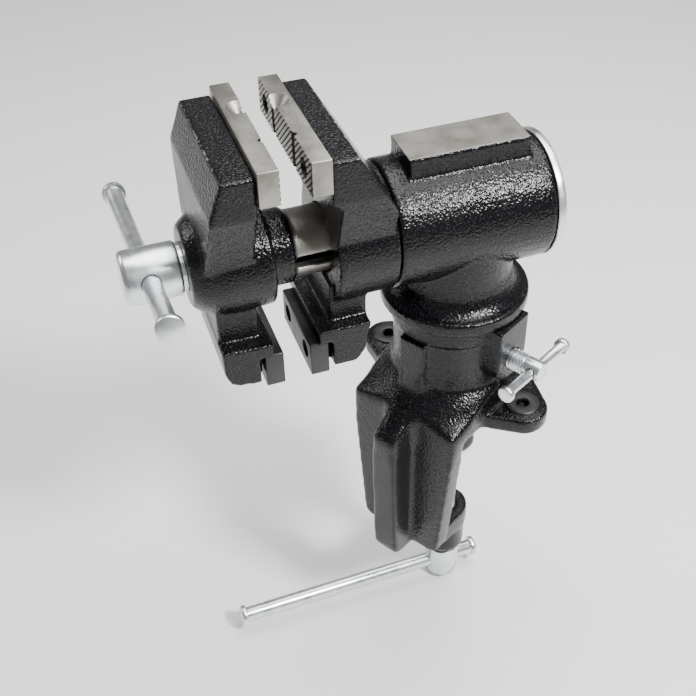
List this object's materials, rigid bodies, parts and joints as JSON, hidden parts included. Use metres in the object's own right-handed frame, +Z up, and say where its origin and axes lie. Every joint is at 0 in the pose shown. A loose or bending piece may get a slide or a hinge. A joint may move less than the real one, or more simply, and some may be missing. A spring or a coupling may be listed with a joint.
{
  "type": "bench vise",
  "caption": "Clamp-on bench vise with a swivelling head, turning jaws with upper plates and lower pipe plates, an anvil, and sliding tommy bars.",
  "frame": {"origin": "on the head's swivel axis, in the plane of the bench top that the base's ears rest on", "axes": "+Z up along the swivel axis, +Y in over the bench, +X along the bench's front edge"},
  "size_m": [0.2196, 0.2043, 0.3247],
  "materials": {
    "enamel": "gloss hammertone",
    "steel": "ground satin",
    "black_steel": "satin black",
    "zinc": "bright zinc plating",
    "black_screw": "black oxide"
  },
  "bodies": {
    "base": {"clamp_base": "enamel"},
    "housing": {"swivel_housing": "enamel"},
    "fixed_jaw": {"fixed_jaw": "enamel", "fixed_upper_plate": "steel", "fixed_upper_screw_left": "black_screw", "fixed_upper_screw_right": "black_screw", "fixed_lower_plate": "black_steel", "fixed_lower_screw_left": "black_screw", "fixed_lower_screw_right": "black_screw", "spindle_nut": "steel", "end_cap": "zinc", "end_cap_screw_1": "zinc", "end_cap_screw_2": "zinc", "end_cap_screw_3": "zinc"},
    "moving_jaw": {"moving_jaw": "enamel", "moving_upper_plate": "steel", "moving_upper_screw_left": "black_screw", "moving_upper_screw_right": "black_screw", "moving_lower_plate": "black_steel", "moving_lower_screw_left": "black_screw", "moving_lower_screw_right": "black_screw"},
    "main_screw": {"main_screw": "zinc", "thrust_washer": "zinc", "screw_collar": "zinc", "collar_pin": "zinc"},
    "handle": {"handle_bar": "zinc", "handle_knob": "zinc"},
    "clamp_pad": {"clamp_pad": "zinc"},
    "clamp_screw": {"clamp_screw": "zinc"},
    "clamp_handle": {"clamp_bar": "zinc", "clamp_knob": "zinc"},
    "lock_screw": {"lock_screw": "zinc"},
    "lock_handle": {"lock_bar": "zinc", "lock_knob": "zinc"}
  },
  "joints": [
    {"name": "head_swivel", "type": "hinge", "parent": "base", "child": "housing", "pos_m": [0, 0, 0.1105], "axis": [0, 0, 1], "continuous": true},
    {"name": "jaw_turn", "type": "hinge", "parent": "housing", "child": "fixed_jaw", "pos_m": [0, 0, 0.1105], "axis": [0.505, 0.8631, 0], "continuous": true},
    {"name": "jaw_slide", "type": "slide", "parent": "fixed_jaw", "child": "moving_jaw", "axis": [-0.505, -0.8631, 0], "range_m": [-0.0121, 0.05]},
    {"name": "screw_turn", "type": "hinge", "parent": "moving_jaw", "child": "main_screw", "pos_m": [0, 0, 0.1105], "axis": [0.505, 0.8631, 0], "range_deg": [-1500, 6010]},
    {"name": "handle_slide", "type": "slide", "parent": "main_screw", "child": "handle", "axis": [0.8443, -0.4939, 0.2079], "range_m": [-0.0392, 0.0892]},
    {"name": "clamp_travel", "type": "slide", "parent": "base", "child": "clamp_pad", "axis": [0, 0, 1], "range_m": [-0.0395, 0.0036]},
    {"name": "clamp_turn", "type": "hinge", "parent": "clamp_pad", "child": "clamp_screw", "pos_m": [0, 0.003, 0], "axis": [0, 0, 1], "range_deg": [-8200, 800]},
    {"name": "clamp_bar_slide", "type": "slide", "parent": "clamp_screw", "child": "clamp_handle", "axis": [0.4955, 0.8686, 0], "range_m": [-0.0075, 0.1125]},
    {"name": "lock_turn", "type": "hinge", "parent": "base", "child": "lock_screw", "pos_m": [0, 0, 0.0389], "axis": [1, 0, 0], "range_deg": [0, 720]},
    {"name": "lock_bar_slide", "type": "slide", "parent": "lock_screw", "child": "lock_handle", "axis": [0, 0.9979, -0.0645], "range_m": [-0.0175, 0.0175]}
  ],
  "couplings": [
    {"joint": "screw_turn", "follows": "jaw_slide", "rad_per_m": 2094.4},
    {"joint": "clamp_turn", "follows": "clamp_travel", "rad_per_m": 3590.4}
  ]
}
